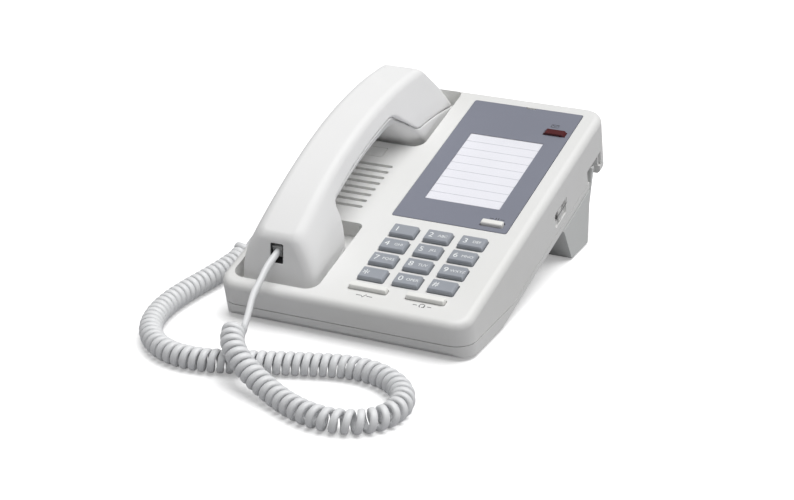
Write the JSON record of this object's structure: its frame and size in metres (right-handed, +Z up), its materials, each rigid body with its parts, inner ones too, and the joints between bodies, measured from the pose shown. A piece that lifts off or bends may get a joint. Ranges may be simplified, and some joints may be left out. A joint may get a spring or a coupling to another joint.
{
  "type": "corded desk telephone",
  "caption": "Corded desk telephone: tilted base on a wedge stand with keypad and card panel, a lift-off handset in two cups, and a curly cord looped on the table.",
  "frame": {"origin": "on the table, under the middle of the base's box without its cord", "axes": "+Z up, +Y from the front edge to the back, +X to the user's right"},
  "size_m": [0.178, 0.3107, 0.097],
  "materials": {
    "case_plastic": "fine moulded texture",
    "stand_plastic": "fine moulded texture",
    "handset_plastic": "smooth satin",
    "foot_rubber": "matt",
    "screw_steel": "plated",
    "panel_plastic": "satin",
    "card_paper": "printed card",
    "clear_window": "clear sheet",
    "red_lens": "clear red moulding",
    "lamp_diode": "clear resin",
    "key_plastic": "satin",
    "button_plastic": "satin",
    "mat_rubber": "silicone",
    "circuit_board": "solder mask",
    "switch_plastic": "moulded",
    "speaker_steel": "pressed steel",
    "weight_steel": "zinc coated",
    "jack_plastic": "moulded",
    "cord_vinyl": "soft vinyl",
    "plug_clear": "clear moulding"
  },
  "bodies": {
    "base": {"upper_case": "case_plastic", "lower_case": "case_plastic", "desk_stand": "stand_plastic", "rubber_feet": "foot_rubber", "case_screws": "screw_steel", "face_panel": "panel_plastic", "directory_card": "card_paper", "card_window": "clear_window", "message_lamp_lens": "red_lens", "message_led": "lamp_diode", "key_mat": "mat_rubber", "hold_switch": "switch_plastic", "main_board": "circuit_board", "board_screws": "screw_steel", "hook_switch": "switch_plastic", "ringer_speaker": "speaker_steel", "volume_switch": "switch_plastic", "line_jack": "jack_plastic", "base_cord_jack": "jack_plastic", "cord_coil": "cord_vinyl", "cord_lead_base": "cord_vinyl", "cord_plug_base": "plug_clear"},
    "handset": {"handset_back_shell": "handset_plastic", "handset_front_shell": "handset_plastic", "handset_screws": "screw_steel", "receiver_capsule": "speaker_steel", "microphone_capsule": "speaker_steel", "handset_weight": "weight_steel", "handset_jack": "jack_plastic", "cord_plug_handset": "plug_clear", "cord_lead_handset": "cord_vinyl"},
    "key_1": {"key_1": "key_plastic"},
    "key_2": {"key_2": "key_plastic"},
    "key_3": {"key_3": "key_plastic"},
    "key_4": {"key_4": "key_plastic"},
    "key_5": {"key_5": "key_plastic"},
    "key_6": {"key_6": "key_plastic"},
    "key_7": {"key_7": "key_plastic"},
    "key_8": {"key_8": "key_plastic"},
    "key_9": {"key_9": "key_plastic"},
    "key_star": {"key_star": "key_plastic"},
    "key_0": {"key_0": "key_plastic"},
    "key_hash": {"key_hash": "key_plastic"},
    "flash_button": {"flash_button": "button_plastic"},
    "redial_button": {"redial_button": "button_plastic"},
    "hold_button": {"hold_button": "button_plastic"},
    "hook_plunger": {"hook_plunger": "switch_plastic"},
    "volume_knob": {"volume_knob": "case_plastic"},
    "hanger_tab": {"hanger_tab": "case_plastic"}
  },
  "joints": [
    {"name": "handset_lift", "type": "slide", "parent": "base", "child": "handset", "axis": [0, -0.2453, 0.9694], "range_m": [0, 0.05]},
    {"name": "hook_plunger_rise", "type": "slide", "parent": "base", "child": "hook_plunger", "axis": [0, -0.2453, 0.9694], "range_m": [0, 0.004]},
    {"name": "key_1_press", "type": "slide", "parent": "base", "child": "key_1", "axis": [0, 0.2453, -0.9694], "range_m": [0, 0.0015], "stiffness_N_per_m": 400},
    {"name": "key_2_press", "type": "slide", "parent": "base", "child": "key_2", "axis": [0, 0.2453, -0.9694], "range_m": [0, 0.0015], "stiffness_N_per_m": 400},
    {"name": "key_3_press", "type": "slide", "parent": "base", "child": "key_3", "axis": [0, 0.2453, -0.9694], "range_m": [0, 0.0015], "stiffness_N_per_m": 400},
    {"name": "key_4_press", "type": "slide", "parent": "base", "child": "key_4", "axis": [0, 0.2453, -0.9694], "range_m": [0, 0.0015], "stiffness_N_per_m": 400},
    {"name": "key_5_press", "type": "slide", "parent": "base", "child": "key_5", "axis": [0, 0.2453, -0.9694], "range_m": [0, 0.0015], "stiffness_N_per_m": 400},
    {"name": "key_6_press", "type": "slide", "parent": "base", "child": "key_6", "axis": [0, 0.2453, -0.9694], "range_m": [0, 0.0015], "stiffness_N_per_m": 400},
    {"name": "key_7_press", "type": "slide", "parent": "base", "child": "key_7", "axis": [0, 0.2453, -0.9694], "range_m": [0, 0.0015], "stiffness_N_per_m": 400},
    {"name": "key_8_press", "type": "slide", "parent": "base", "child": "key_8", "axis": [0, 0.2453, -0.9694], "range_m": [0, 0.0015], "stiffness_N_per_m": 400},
    {"name": "key_9_press", "type": "slide", "parent": "base", "child": "key_9", "axis": [0, 0.2453, -0.9694], "range_m": [0, 0.0015], "stiffness_N_per_m": 400},
    {"name": "key_star_press", "type": "slide", "parent": "base", "child": "key_star", "axis": [0, 0.2453, -0.9694], "range_m": [0, 0.0015], "stiffness_N_per_m": 400},
    {"name": "key_0_press", "type": "slide", "parent": "base", "child": "key_0", "axis": [0, 0.2453, -0.9694], "range_m": [0, 0.0015], "stiffness_N_per_m": 400},
    {"name": "key_hash_press", "type": "slide", "parent": "base", "child": "key_hash", "axis": [0, 0.2453, -0.9694], "range_m": [0, 0.0015], "stiffness_N_per_m": 400},
    {"name": "flash_button_press", "type": "slide", "parent": "base", "child": "flash_button", "axis": [0, 0.2453, -0.9694], "range_m": [0, 0.0015], "stiffness_N_per_m": 400},
    {"name": "redial_button_press", "type": "slide", "parent": "base", "child": "redial_button", "axis": [0, 0.2453, -0.9694], "range_m": [0, 0.0015], "stiffness_N_per_m": 400},
    {"name": "hold_button_press", "type": "slide", "parent": "base", "child": "hold_button", "axis": [0, 0.2453, -0.9694], "range_m": [0, 0.0015], "stiffness_N_per_m": 400},
    {"name": "volume_slide", "type": "slide", "parent": "base", "child": "volume_knob", "axis": [0, 0.9694, 0.2453], "range_m": [-0.004, 0.004]},
    {"name": "hanger_tab_lift", "type": "slide", "parent": "base", "child": "hanger_tab", "axis": [0, -0.2453, 0.9694], "range_m": [0, 0.008]}
  ],
  "couplings": [
    {"joint": "hook_plunger_rise", "follows": "handset_lift", "ratio": 0.08}
  ]
}
